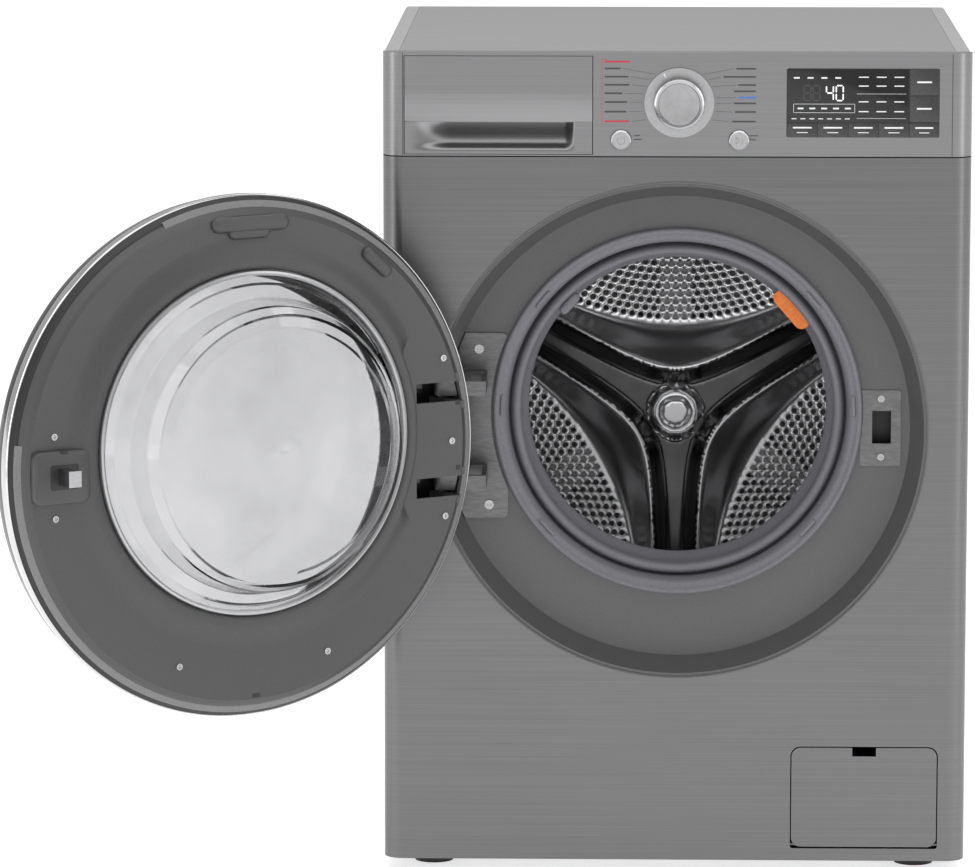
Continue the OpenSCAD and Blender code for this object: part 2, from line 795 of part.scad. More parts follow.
module heater() {
  r = 3.3;
  color("silver") on_drum_axis() translate([0, 268, 0]) union() {
    for (x = [-22, 22]) translate([x, 0, 290]) cylinder(r = r, h = tub_s1 - 288);
    translate([0, 0, 290]) rotate([90, 0, 0]) intersection() {
      rotate_extrude() translate([22, 0]) circle(r = r);
      translate([-30, -30, -10]) cube([60, 30, 20]);
    }
    translate([-31, -9, tub_s1 - 1.6]) cube([62, 18, 12]);
  }
}

// ---------- drum ----------

module drum() {
  t = 0.8;
  color("gainsboro") on_drum_axis() difference() {
    rotate_extrude() polygon([
      [drum_mouth_r, drum_s0 + 6], [drum_mouth_r, drum_s0 + 1], [drum_mouth_r + 4, drum_s0],
      [drum_r - 6, drum_s0], [drum_r + t, drum_s0 + 7], [drum_r + t, drum_s1 + t], [0, drum_s1 + t],
      [0, drum_s1], [drum_r, drum_s1], [drum_r, drum_s0 + 7.5], [drum_r - 6.5, drum_s0 + t],
      [drum_mouth_r + 4, drum_s0 + t], [drum_mouth_r + t, drum_s0 + 2], [drum_mouth_r + t, drum_s0 + 6]
    ]);
  }
}

module lifters() {
  height = 42;
  color("whitesmoke") on_drum_axis() for (i = [0 : lifters_n - 1]) rotate([0, 0, i * 360 / lifters_n + 30])
    difference() {
      translate([0, 0, drum_s0 + 40]) linear_extrude(height = 270) intersection() {
        circle(r = drum_r - 0.1);
        polygon([
          [drum_r - 12, -34], [drum_r - height, -9], [drum_r - height - 4, 0],
          [drum_r - height, 9], [drum_r - 12, 34], [drum_r + 5, 34], [drum_r + 5, -34]
        ]);
      }
      translate([0, 0, drum_s0 + 43]) linear_extrude(height = 264)
        polygon([
          [drum_r - 14, -26], [drum_r - height + 4, -6], [drum_r - height + 4, 6], [drum_r - 14, 26]
        ]);
    }
}

module drum_spider() {
  s0 = drum_s1 + 1.4;
  color("darkgray") on_drum_axis() union() {
    translate([0, 0, s0 + 4]) cylinder(r = 44, h = 20);
    for (a = [30, 150, 270]) rotate([0, 0, a]) translate([0, -18, s0]) cube([228, 36, 18]);
    translate([0, 0, s0]) cylinder(r = shaft_r, h = 78);
  }
}

module rotor() {
  s0 = tub_s1 + 36;
  color("dimgray") on_drum_axis() difference() {
    union() {
      translate([0, 0, s0]) tube(rotor_r, shaft_r, 5);
      translate([0, 0, tub_s1 + 10]) tube(rotor_r, rotor_r - 8, 30);
    }
    for (a = [0 : 30 : 330]) rotate([0, 0, a]) translate([80, 0, s0 - 1]) cylinder(r = 12, h = 10);
  }
}

// ---------- door ----------

module door_slots() {
  for (z = arm_zs) slab(-280, -188, hinge_y + 8, face_y + 5, z + 1.5 - slot_half, z + 1.5 + slot_half);
}

module door_ring() {
  f = front_y;
  color("silver") as_opened() difference() {
    facing_back(port_x, port_z) rotate_extrude() polygon([
      [door_r - 6.5, f - 4], [door_r, f - 11], [door_r, f - 18], [door_r - 2.5, f - 21],
      [door_r - 9, f - 21], [door_r - 9, f - 4]
    ]);
    door_slots();
  }
}

module door_cover() {
  // outer points of the domed cover: radius, distance in front of the cabinet
  rim = [[254.2, -21.4], [260, -21.4], [259.5, -35], [257, -41], [251, -45.5]];
  dome = [for (r = [240 : -20 : 0]) [r, -58 + 11.5 * pow(r / 250, 2)]];
  inner = [for (r = [0 : 20 : 240]) [r, -55 + 11.5 * pow(r / 250, 2)]];
  lip = [[250, -42.3], [254.5, -38.6], [256.8, -34], [257, -24.5], [254.2, -24.5]];
  color("lightsteelblue") as_opened() difference() {
    facing_back(port_x, port_z) translate([0, 0, front_y])
      rotate_extrude() polygon(concat(rim, dome, inner, lip));
    door_slots();
  }
}

module door_frame() {
  f = front_y;
  face_t = 2.5;
  color("dimgray") as_opened() difference() {
    union() {
      facing_back(port_x, port_z) rotate_extrude() polygon([
        [150, face_y], [face_r - 4, face_y], [face_r, face_y - 3], [254, f - 3.8], [253.8, f - 20],
        [250.8, f - 20], [251, f - 5], [face_r - 4, face_y - face_t - 1.5], [150, face_y - face_t]
      ]);
      // blocks that hold the hinge pins
      intersection() {
        for (z = arm_zs, e = [-1, 1]) slab(-249, -229, hinge_y - 8, face_y - 1,
          z + 1.5 + e * (slot_half + 4.5) - 4, z + 1.5 + e * (slot_half + 4.5) + 4);
        facing_back(port_x, port_z) translate([0, 0, -400]) cylinder(r = 249, h = 200);
      }
    }
    facing_back(port_x, gasket_z) translate([0, 0, -400]) cylinder(r = glass_r, h = 200);
    door_slots();
    for (z = arm_zs) translate([hinge_x, hinge_y, z - 20]) cylinder(r = pin_r, h = 42);
    // seat for the latch hook
    slab(seat[0], seat[1], face_y - 10, face_y + 1, port_z - seat_half, port_z + seat_half);
  }
}

module door_glass() {
  color("lightcyan") as_opened() facing_back(port_x, gasket_z) rotate_extrude() polygon([
    [186, face_y - 8], [186, face_y - 4.4], [174.5, face_y - 4.2], [172, face_y + 1], [162, -272],
    [149, -262], [143, -238], [136, -224], [124, -219], [0, -217], [0, -221], [122, -223],
    [132.5, -227], [139, -240], [145, -264], [158, -275.5], [168, face_y - 2], [170, face_y - 8]
  ]);
}

module hinge_pins() {
  color("silver") as_opened() for (z = arm_zs) translate([hinge_x, hinge_y, z + 1.5 - 18.4])
    cylinder(r = pin_r, h = 36.8);
}

module door_screws() {
  color("silver") as_opened() for (p = door_screw_xz) translate([p[0], 0, p[1]]) rotate([0, 0, 180])
    screw(0, -(face_y + 1.2), 0, 3.4, 10);
}

module door_bumpers() {
  color("dimgray") as_opened() union() {
    rounded_plate(-38, 42, 690, 703, 6, face_y + 0.1, face_y + 7);
    translate([-142, 0, 650]) rotate([0, -42, 0])
      rounded_plate(-17, 17, -7, 7, 6, face_y + 0.1, face_y + 6);
  }
}

module latch_hook() {
  color("silver") as_opened() union() {
    slab(hook_x - 5, hook_x + 5, face_y - 6, -258, port_z - 8, port_z + 8);
    slab(hook_x - 8.5, hook_x - 4, -266, -258, port_z - 8, port_z + 8);
    translate([hook_x, face_y - 5, port_z - 11]) cylinder(r = 4.5, h = 22);
  }
}

// ---------- detergent drawer ----------

module detergent_drawer() {
  y0 = front_y + 23.3;
  y1 = -20;
  t = 2.2;
  color("whitesmoke") difference() {
    slab(drawer_x0, drawer_x1, y0, y1, drawer_z0, drawer_z1);
    // three wells, side by side
    slab(drawer_x0 + t, -214, y0 + t, y1 - t, drawer_z0 + t, drawer_z1 + 1);
    slab(-214 + t, -152, y0 + t, y1 - t, drawer_z0 + t, drawer_z1 + 1);
    slab(-152 + t, drawer_x1 - t, y0 + t, -120, drawer_z0 + t, drawer_z1 + 1);
    slab(-152 + t, drawer_x1 - t, -120 + t, y1 - t, drawer_z0 + t, drawer_z1 + 1);
  }
}

module drawer_front() {
  z0 = fascia_z0 + 2;
  z1 = body_h - 3.6;
  y1 = front_y + 23.2;
  color(steel) difference() {
    slab(drawer_front_x0, drawer_front_x1, front_y, y1, z0, z1);
    // finger pocket with a lip to pull on
    slab(-233, -107, front_y - 1, y1 - 3, 753, 781);
    slab(-233, -107, front_y + 6, y1 - 3, 780, 792);
    // hollow back
    slab(drawer_front_x0 + 3, drawer_front_x1 - 3, front_y + 3, y1 - 3, 796, z1 - 3);
  }
}

// ---------- filter flap ----------

module filter_cover() {
  color(steel) difference() {
    union() {
      rounded_plate(flap[0], flap[1], flap[2], flap[3], flap_corner_r, front_y, front_y + 2.5);
      for (x = [flap[0] + 5, flap[1] - 13])
        slab(x, x + 8, front_y + 2, flap_pin_y + 1.8, flap_pin_z - 1.8, flap_pin_z + 9.5);
      for (x = [flap[0] - 4, flap[1] - 10])
        translate([x, flap_pin_y, flap_pin_z]) rotate([0, 90, 0]) cylinder(r = 1.5, h = 14);
    }
    // finger notch in the top edge
    slab(183.5, 208, front_y - 1, front_y + 5, flap[3] - 9, flap[3] + 1);
  }
}

cabinet_shell();
rear_cover();
base_frame();
top_plate();
top_trims();
front_panel();
door_surround();
control_panel();
display_window();
knob_bezel();
drawer_housing();
door_lock();
strike_plate();
hinge_bracket();
panel_screws();
gasket_lip();
spray_nozzle();
drain_pump();
drain_outlet();
inlet_valves();
internal_hoses();
cord_gland();
transit_caps();
cross_braces();
main_board();
damper_cylinders();
suspension_springs();
foot_front_left();
foot_front_right();
foot_rear_left();
foot_rear_right();
tub_front();
tub_rear();
gasket_bellows();
top_counterweight();
lower_counterweight();
stator();
bearings();
heater();
damper_rods();
drum();
lifters();
drum_spider();
rotor();
door_ring();
door_cover();
door_frame();
door_glass();
hinge_pins();
door_screws();
door_bumpers();
latch_hook();
detergent_drawer();
drawer_front();
program_knob();
power_button();
start_button();
filter_cover();
drain_filter();
pump_impeller();
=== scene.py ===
import json
import math

import bpy
import numpy as np
from mathutils import Matrix, Vector
from mathutils.geometry import delaunay_2d_cdt


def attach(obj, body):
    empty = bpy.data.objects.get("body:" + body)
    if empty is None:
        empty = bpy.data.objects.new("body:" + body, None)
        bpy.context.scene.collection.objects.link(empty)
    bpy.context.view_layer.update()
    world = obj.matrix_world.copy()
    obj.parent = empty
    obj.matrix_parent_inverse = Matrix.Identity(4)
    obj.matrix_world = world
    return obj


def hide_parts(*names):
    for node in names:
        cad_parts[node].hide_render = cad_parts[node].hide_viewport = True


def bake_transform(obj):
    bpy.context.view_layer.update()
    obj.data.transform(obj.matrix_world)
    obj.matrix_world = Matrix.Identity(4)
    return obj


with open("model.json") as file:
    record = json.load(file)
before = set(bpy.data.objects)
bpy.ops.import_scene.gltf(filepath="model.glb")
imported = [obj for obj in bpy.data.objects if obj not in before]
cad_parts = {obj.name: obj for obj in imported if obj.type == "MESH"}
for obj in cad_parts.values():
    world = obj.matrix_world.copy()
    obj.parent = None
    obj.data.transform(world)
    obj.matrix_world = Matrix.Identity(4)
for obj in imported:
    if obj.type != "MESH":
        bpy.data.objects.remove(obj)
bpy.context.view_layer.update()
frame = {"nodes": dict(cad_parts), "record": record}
nodes = frame["nodes"]
TAU = 2 * math.pi
MM = 0.001

# ---------- camera ----------
scene = bpy.context.scene
camera_data = bpy.data.cameras.new("camera")
camera = bpy.data.objects.new("camera", camera_data)
scene.collection.objects.link(camera)
camera_data.lens = 222.0
camera_data.sensor_width = 36
camera_data.clip_end = 400
camera.location = (-0.0344, -6.3859, 1.3815)
camera.rotation_euler = (math.radians(90 - 8.61), 0, math.radians(1.49))
scene.camera = camera
scene.view_settings.view_transform = "Standard"
scene.view_settings.look = "None"


# ---------- materials ----------
def material(name, low, high, rough=(0.3, 0.4), metal=0.0, scale=(60, 60, 60), bump=0.05, spread=0.0005,
        **extra):
    """A finish whose colour and roughness wander between two values, with a fine grain in relief."""
    m = bpy.data.materials.new(name)
    m.use_nodes = True
    tree = m.node_tree
    shader = tree.nodes["Principled BSDF"]
    coord = tree.nodes.new("ShaderNodeTexCoord")
    mapping = tree.nodes.new("ShaderNodeMapping")
    mapping.inputs["Scale"].default_value = scale
    noise = tree.nodes.new("ShaderNodeTexNoise")
    noise.inputs["Scale"].default_value = 1.0
    noise.inputs["Detail"].default_value = 6.0
    noise.inputs["Roughness"].default_value = 0.6
    broad = tree.nodes.new("ShaderNodeTexNoise")
    broad.inputs["Scale"].default_value = 7.0
    broad.inputs["Detail"].default_value = 3.0
    link = tree.links.new
    link(coord.outputs["Object"], mapping.inputs["Vector"])
    link(mapping.outputs["Vector"], noise.inputs["Vector"])
    link(coord.outputs["Object"], broad.inputs["Vector"])
    ramp = tree.nodes.new("ShaderNodeValToRGB")
    ramp.color_ramp.elements[0].position = 0.32
    ramp.color_ramp.elements[1].position = 0.68
    ramp.color_ramp.elements[0].color = (*low, 1)
    ramp.color_ramp.elements[1].color = (*high, 1)
    link(noise.outputs["Fac"], ramp.inputs["Fac"])
    link(ramp.outputs["Color"], shader.inputs["Base Color"])
    span = tree.nodes.new("ShaderNodeMapRange")
    span.inputs["To Min"].default_value = rough[0]
    span.inputs["To Max"].default_value = rough[1]
    link(broad.outputs["Fac"], span.inputs["Value"])
    link(span.outputs["Result"], shader.inputs["Roughness"])
    grain = tree.nodes.new("ShaderNodeBump")
    grain.inputs["Strength"].default_value = bump
    grain.inputs["Distance"].default_value = spread
    link(noise.outputs["Fac"], grain.inputs["Height"])
    link(grain.outputs["Normal"], shader.inputs["Normal"])
    shader.inputs["Metallic"].default_value = metal
    for key, value in extra.items():
        shader.inputs[key.replace("_", " ")].default_value = value
    return m


def grey(a, b=None):
    b = a if b is None else b
    return (a, a, a * 1.01), (b, b, b * 1.01)


FINISH = {
    "front_steel": material("front_steel", *grey(0.165, 0.2), (0.33, 0.4), 1, (3, 3, 900), 0.05, 0.0002),
    "fascia_steel": material("fascia_steel", *grey(0.25, 0.285), (0.32, 0.38), 1, (3, 3, 900), 0.05, 0.0002),
    "side_steel": material("side_steel", *grey(0.19, 0.225), (0.3, 0.38), 1, (3, 700, 3), 0.05, 0.0002),
    "top_steel": material("top_steel", *grey(0.4, 0.45), (0.38, 0.45), 1, (3, 600, 3), 0.05, 0.0002),
    "trim_silver": material("trim_silver", *grey(0.52, 0.56), (0.35, 0.45), 0.9, (300, 20, 300), 0.04,
            0.0002),
    "bright_steel": material("bright_steel", *grey(0.34, 0.42), (0.16, 0.28), 1, (90, 90, 400), 0.05, 0.0003),
    "zinc_steel": material("zinc_steel", *grey(0.24, 0.33), (0.35, 0.5), 0.9, (45, 45, 45), 0.05, 0.0004),
    "surround_plastic": material("surround_plastic", *grey(0.1, 0.13), (0.36, 0.46), 0.35,
            (900, 900, 900), 0.1, 0.0001),
    "door_plastic": material("door_plastic", *grey(0.066, 0.084), (0.38, 0.48), 0.25, (900, 900, 900),
            0.1, 0.0001),
    "grey_plastic": material("grey_plastic", *grey(0.17, 0.21), (0.4, 0.5), 0, (500, 500, 500), 0.1, 0.0002),
    "white_plastic": material("white_plastic", *grey(0.7, 0.78), (0.35, 0.45), 0, (400, 400, 400), 0.08,
            0.0002),
    "black_plastic": material("black_plastic", *grey(0.012, 0.02), (0.35, 0.5), 0, (500, 500, 500), 0.1,
            0.0002),
    "black_rubber": material("black_rubber", *grey(0.015, 0.025), (0.6, 0.75), 0, (300, 300, 300), 0.15,
            0.0003),
    "gasket_rubber": material("gasket_rubber", (0.15, 0.148, 0.165), (0.185, 0.18, 0.2), (0.5, 0.6), 0,
            (350, 350, 350), 0.1, 0.0002),
    "tub_plastic": material("tub_plastic", *grey(0.35, 0.42), (0.5, 0.6), 0, (200, 200, 200), 0.12, 0.0004),
    "concrete": material("concrete", *grey(0.3, 0.45), (0.85, 0.95), 0, (120, 120, 120), 0.5, 0.002),
    "drum_steel": material("drum_steel", *grey(0.66, 0.76), (0.16, 0.26), 1, (25, 25, 25), 0.03, 0.0003),
    "cast_alloy": material("cast_alloy", *grey(0.4, 0.52), (0.5, 0.6), 0.9, (220, 220, 220), 0.25, 0.0006),
    "copper_winding": material("copper_winding", (0.5, 0.2, 0.09), (0.65, 0.3, 0.14), (0.3, 0.4), 1,
            (20, 20, 900), 0.3, 0.0006),
    "chrome_trim": material("chrome_trim", *grey(0.55, 0.62), (0.08, 0.16), 1, (30, 30, 30), 0.02, 0.0002),
    "cover_glass": material("cover_glass", *grey(0.01, 0.02), (0.05, 0.1), 0, (20, 20, 20), 0.01, 0.0002),
    "clear_glass": material("clear_glass", *grey(0.86, 0.92), (0.02, 0.05), 0, (8, 8, 8), 0.03, 0.0005,
            Transmission_Weight=1.0, IOR=1.3),
    "display_glass": material("display_glass", *grey(0.008, 0.014), (0.08, 0.14), 0, (40, 40, 40), 0.01,
            0.0002),
    "bezel_silver": material("bezel_silver", *grey(0.42, 0.48), (0.28, 0.36), 0.9, (300, 300, 300), 0.04,
            0.0002),
    "knob_chrome": material("knob_chrome", *grey(0.36, 0.44), (0.16, 0.24), 1, (60, 60, 60), 0.03, 0.0002),
    "orange_plastic": material("orange_plastic", (0.75, 0.16, 0.015), (0.9, 0.24, 0.03), (0.3, 0.4), 0,
            (300, 300, 300), 0.06, 0.0002),
    "board_green": material("board_green", (0.01, 0.12, 0.04), (0.02, 0.2, 0.07), (0.35, 0.5), 0,
            (300, 300, 300), 0.2, 0.0004),
    "plate_steel": material("plate_steel", *grey(0.13, 0.18), (0.28, 0.38), 1, (90, 90, 400), 0.05, 0.0003),
    # a darker copy of the drum steel: painted reflection, standing in for the dark drum walls mirrored in the
    # drum back's arms
    "arm_painted_shade_steel": material("arm_painted_shade_steel", *grey(0.09, 0.14), (0.14, 0.22), 1, (25, 25, 25), 0.03, 0.0003),
    "mark_white": material("mark_white", *grey(0.75, 0.85), (0.4, 0.5), 0, (200, 200, 200), 0.02, 0.0001),
    "mark_lit": material("mark_lit", *grey(0.85, 0.95), (0.4, 0.5), 0, (200, 200, 200), 0.02, 0.0001,
                         Emission_Color=(1, 1, 1, 1), Emission_Strength=0.6),
    "mark_grey": material("mark_grey", *grey(0.25, 0.3), (0.4, 0.5), 0, (200, 200, 200), 0.02, 0.0001),
    "mark_dark": material("mark_dark", *grey(0.045, 0.06), (0.45, 0.55), 0, (200, 200, 200), 0.02, 0.0001),
    "mark_red": material("mark_red", (0.5, 0.02, 0.05), (0.6, 0.03, 0.07), (0.4, 0.5), 0, (200, 200, 200),
            0.02, 0.0001),
    "mark_blue": material("mark_blue", (0.05, 0.16, 0.5), (0.07, 0.2, 0.6), (0.4, 0.5), 0,
            (200, 200, 200), 0.02, 0.0001),
    "key_grey": material("key_grey", *grey(0.035, 0.05), (0.2, 0.3), 0, (300, 300, 300), 0.02, 0.0001),
    "smoked_pane": material("smoked_pane", *grey(0.46, 0.56), (0.03, 0.07), 0, (9, 9, 9), 0.03, 0.0005,
                            Transmission_Weight=1.0, IOR=1.3),
}

for row in frame["record"]["subparts"]:
    piece = nodes[row["node"]]
    piece.data.materials.clear()
    finish = "plate_steel" if row["node"] in ("hinge_bracket", "strike_plate") else row["material_slot"]
    piece.data.materials.append(FINISH[finish])

# ---------- shape helpers (all in millimetres, +Y to the back) ----------
HINGE = Vector((-239, -327, 0)) * MM
OPEN_DOOR = Matrix.Translation(HINGE) @ Matrix.Rotation(math.radians(-148), 4,
        "Z") @ Matrix.Translation(-HINGE)
# centres of the round features, as (x, z)
PORT = (2, 462)
GLASS = (2, 478)
PANE = (0, 478)

# levels along Y
FRONT = -295
DISPLAY = -295.7
PANE_FACE = -296.3
SIGN_FOOT = -296.2
DOOR_FACE = -290


def build(name, verts, faces, finish, body, stands_for=(), turn=None, sharp=35):
    """One mesh piece from points in millimetres, finished and riding on its body."""
    mesh = bpy.data.meshes.new(name)
    mesh.from_pydata([tuple(c * MM for c in v) for v in verts], [], faces)
    mesh.validate()
    work = bpy.data.objects.new(name, mesh)
    scene.collection.objects.link(work)
    if turn is not None:
        mesh.transform(turn)
    mesh.polygons.foreach_set("use_smooth", [True] * len(mesh.polygons))
    mesh.set_sharp_from_angle(angle=math.radians(sharp))
    mesh.materials.append(FINISH[finish])
    if body:
        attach(work, body)
    if stands_for:
        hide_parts(*stands_for)
    return work


def sweep(profile, centre, n=160, start=0.0, end=360.0, shape=None):
    """Turns a list of (radius, y) round a Y axis. A full turn joins up; a part turn gets end caps."""
    whole = abs(end - start) >= 360
    steps = n if whole else n + 1
    verts, faces, count = [], [], len(profile)
    for i in range(steps):
        a = math.radians(start + (end - start) * i / n)
        for r, y in profile:
            if shape:
                r, y = shape(r, y, math.degrees(a) % 360)
            verts.append((centre[0] + r * math.cos(a), y, centre[1] + r * math.sin(a)))
    for i in range(n):
        j = (i + 1) % steps
        for k in range(count):
            m = (k + 1) % count
            faces.append((i * count + k, i * count + m, j * count + m, j * count + k))
    if not whole:
        faces.append(tuple(range(count))[::-1])
        faces.append(tuple(n * count + k for k in range(count)))
    return verts, faces


def outline(w, h, r, n=7):
    """A rounded rectangle about the origin, as (x, z) points."""
    r = min(r, w / 2 - 0.01, h / 2 - 0.01)
    points = []
    for cx, cz, a0 in ((w / 2 - r, h / 2 - r, 0), (r - w / 2, h / 2 - r, 90), (r - w / 2, r - h / 2, 180),
                       (w / 2 - r, r - h / 2, 270)):
        for i in range(n + 1):
            a = math.radians(a0 + 90 * i / n)
            points.append((cx + r * math.cos(a), cz + r * math.sin(a)))
    return points


def pad(name, cx, cz, w, h, r, back, front, edge, finish, body, tilt=0.0, turn=None, stands_for=()):
    """A rounded slab whose face at y = front has softened edges of the given size."""
    toward = 1 if front > back else -1
    levels = [(0, back), (0, front - toward * edge), (edge * 0.3, front - toward * edge * 0.3), (edge, front)]
    verts, faces = [], []
    c, s = math.cos(math.radians(tilt)), math.sin(math.radians(tilt))
    for inset, y in levels:
        for x, z in outline(w - 2 * inset, h - 2 * inset, max(r - inset, 0.2)):
            verts.append((cx + c * x - s * z, y, cz + s * x + c * z))
    n = len(verts) // len(levels)
    for k in range(len(levels) - 1):
        for i in range(n):
            j = (i + 1) % n
            faces.append((k * n + i, k * n + j, (k + 1) * n + j, (k + 1) * n + i))
    faces.append(tuple(range(n))[::-1])
    faces.append(tuple((len(levels) - 1) * n + i for i in range(n)))
    return build(name, verts, faces, finish, body, stands_for, turn, 50)


def strokes(name, lines, back, front, finish, body):
    """Thin raised lines from (x0, z0, x1, z1, width), as one piece."""
    verts, faces = [], []
    for x0, z0, x1, z1, width in lines:
        d = math.hypot(x1 - x0, z1 - z0) or 1
        nx, nz = -(z1 - z0) / d * width / 2, (x1 - x0) / d * width / 2
        b = len(verts)
        for y in (back, front):
            verts += [(x0 + nx, y, z0 + nz), (x1 + nx, y, z1 + nz), (x1 - nx, y, z1 - nz),
                    (x0 - nx, y, z0 - nz)]
        faces += [(b + 4, b + 5, b + 6, b + 7), (b + 3, b + 2, b + 1, b)]
        faces += [(b + i, b + (i + 1) % 4, b + 4 + (i + 1) % 4, b + 4 + i) for i in range(4)]
    return build(name, verts, faces, finish, body)


def smooth(t):
    t = min(max(t, 0.0), 1.0)
    return t * t * (3 - 2 * t)


# ---------- door ----------
def collar_shape(r, y, a):
    """Draws the collar's foot in beside the hinge arms, which pass there when the door shuts."""
    near_hinge = smooth(1 - (abs(a - 180) - 23) / 6)
    return (r - near_hinge * max(0, r - 185) * 0.92, y)


verts, faces = sweep([(174, -290), (173.6, -284.5), (175.4, -282.3), (178, -281.8), (184, -281.9),
        (187.5, -282.7),
              (192, -284.6), (199, -287.4), (204, -288.7), (208, -289.05), (208,
                      -290)], PANE, 220, shape=collar_shape)
build("door_collar", verts, faces, "door_plastic", "door", turn=OPEN_DOOR, sharp=50)
# a light silver ring painted as the reflection on the thick glass's rim
verts, faces = sweep([(167.4, -282.4), (168.2, -280.4), (170, -279.6), (172.2, -280.4), (173.4, -282.6),
        (173.4, -286),
              (168.5, -286)], PANE, 200)
build("glass_rim_painted_sheen", verts, faces, "bezel_silver", "door", turn=OPEN_DOOR)
verts, faces = sweep([(249.2, -293.9), (252.6, -296.7), (256.4, -297.5), (257.2, -298.3), (257.2, -299.4),
        (249, -299.4)],
             PORT, 190, 69, 367)
build("door_side_band", verts, faces, "grey_plastic", "door", turn=OPEN_DOOR)
verts, faces = sweep([(254, -299.2), (256.5, -299), (260.9, -303.4), (260.4, -315.8), (254, -316)], PORT, 200)
build("ring_band", verts, faces, "black_plastic", "door", turn=OPEN_DOOR)
verts, faces = sweep([(260.7, -303.4), (261.5, -303), (262.7, -304.4), (263, -306), (263, -313),
        (262.3, -315.2),
              (260.5, -316), (260.2, -315)], PORT, 240)
build("ring_bead", verts, faces, "chrome_trim", "door", ("door_ring",), OPEN_DOOR)
verts, faces = sweep([(176, -338), (176, -343.4), (251, -340.9), (257, -336), (259.5, -330),
        (260, -319.6), (254.4, -319.6),
              (253.6, -330), (249, -336.2)], PORT, 200)
build("cover_rim", verts, faces, "cover_glass", "door", ("door_cover",), OPEN_DOOR)
verts, faces = sweep([(0.01, -350), (60, -349.4), (120, -347.4), (176, -343.4), (176, -340.6),
        (120, -344.6), (60, -346.6),
              (0.01, -347.2)], PORT, 120)
build("cover_pane", verts, faces, "smoked_pane", "door", turn=OPEN_DOOR)
pad("latch_pad", 214, 460.5, 62, 53, 9, DOOR_FACE, -281.6, 2.6, "door_plastic", "door", turn=OPEN_DOOR)
pad("latch_seat", 212, 461, 31, 25, 3, -283, -281.2, 0.4, "black_plastic", "door", turn=OPEN_DOOR)
# a black patch painted as the shade in the notch at the latch pad's top edge
pad("latch_notch_painted_shade", 212, 485.4, 8, 3.4, 0.8, -283, -281.3, 0.3, "black_plastic", "door", turn=OPEN_DOOR)
pad("top_pad", 1.5, 697, 86, 16, 7.8, DOOR_FACE, -283.4, 4, "door_plastic", "door", turn=OPEN_DOOR,
    stands_for=("door_bumpers",))
pad("top_pad_foot", 3, 689, 46, 14, 6.8, DOOR_FACE, -284.6, 3, "door_plastic", "door", turn=OPEN_DOOR)
pad("side_pad", -142, 650, 40, 14, 6.8, DOOR_FACE, -283.6, 4, "door_plastic", "door", tilt=42, turn=OPEN_DOOR)
# black patches painted as the shade inside the door's small holes
for i, (x, z, w, h) in enumerate(((-236, 501, 5, 5), (-236.6, 434, 5, 5), (-2.8, 221.7, 9, 4))):
    pad(f"painted_hole_shade_{i}", x, z, w, h, 0.6, -290, -288.8, 0.1, "black_plastic", "door", turn=OPEN_DOOR)

# ---------- gasket, one bellows from the surround to the tub ----------
verts, faces = sweep([(190, -261), (189.8, -267.5), (188.6, -270), (186.6, -270.6), (184.6, -269.4),
        (183.6, -267.6),
              (181, -266.6), (178.4, -265.6), (176.2, -262), (174.8, -255), (174, -246), (173.2,
                      -241), (171.6, -243),
              (170.6, -249), (168.4, -252), (165.4, -252.6), (162.6, -250.6), (161, -246), (161,
                      -238), (162.4, -229),
              (160.6, -222), (156.6, -216), (154, -212.6), (154.4, -210.8), (157.6, -211), (163,
                      -218), (166, -228),
              (166, -240), (168, -247), (169, -240), (172, -236), (178, -236.5), (180, -250), (184,
                      -260.5)], GLASS, 240)
bellows = build("gasket", verts, faces, "gasket_rubber", None, ("gasket_lip", "gasket_bellows"), sharp=60)
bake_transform(bellows)
for i, a in enumerate((40, 140, 222, 318, 178, 2)):
    c, s = math.cos(math.radians(a)), math.sin(math.radians(a))
    pad(f"gasket_clip_{i}", 2 + 180.5 * c, 478 + 180.5 * s, 4, 22, 1.9, -262, -268.6, 1.2,
            "gasket_rubber", "cabinet",
        tilt=a)
pad("gasket_lobe", -109.5, 587, 26, 10, 4.8, -240, -249, 3, "gasket_rubber", "tub", tilt=48)

# ---------- drum ----------
TILT = math.radians(8.46)
DRUM_X, DRUM_UP = Vector((1, 0, 0)), Vector((0, math.sin(TILT), math.cos(TILT)))
DRUM_AXIS, DRUM_AT = Vector((0, math.cos(TILT), -math.sin(TILT))), Vector((2, -240, 474.5))
RIDGE_H, BACK_S, DRUM_R = 26.0, 416.0, 240.0


def in_drum(u, w, s):
    return tuple(DRUM_AT + DRUM_X * u + DRUM_UP * w + DRUM_AXIS * s)


def sector(u, w):
    """Distance along, and across, the nearest of the three panels between the arms."""
    a = math.degrees(math.atan2(w, u)) % 360
    middle = min((90, 210, 330), key=lambda m: abs((a - m + 180) % 360 - 180))
    t = math.radians(middle)
    return u * math.cos(t) + w * math.sin(t), -u * math.sin(t) + w * math.cos(t)


def ridge_at(b):
    return 24.2 + math.sqrt(576 + (0.577 * b) ** 2)


def panel_at(b):
    return 97 + 16 * (b / 100) ** 2


def relief(u, w):
    """How far the drum's back stands forward of its flat level."""
    a, b = sector(u, w)
    r = math.hypot(u, w)
    edge, panel = ridge_at(b), panel_at(b)
    if a >= edge:
        h = RIDGE_H * (1 - smooth((a - edge) / max(panel - edge, 6)))
        h += 3.6 * math.exp(-(((a - edge) / 5.4) ** 2))
    else:
        h = RIDGE_H - 15 * smooth((edge - a) / 21) + 3.6 * math.exp(-(((a - edge) / 5.4) ** 2))
    if r < 36:
        ring = 6 + 15 * smooth((29 - r) / 4) - 3.5 * smooth((17 - r) / 2.5)
        h = h + (RIDGE_H - 21 + ring - h) * smooth((36 - r) / 8)
    return h * smooth((236 - r) / 26)


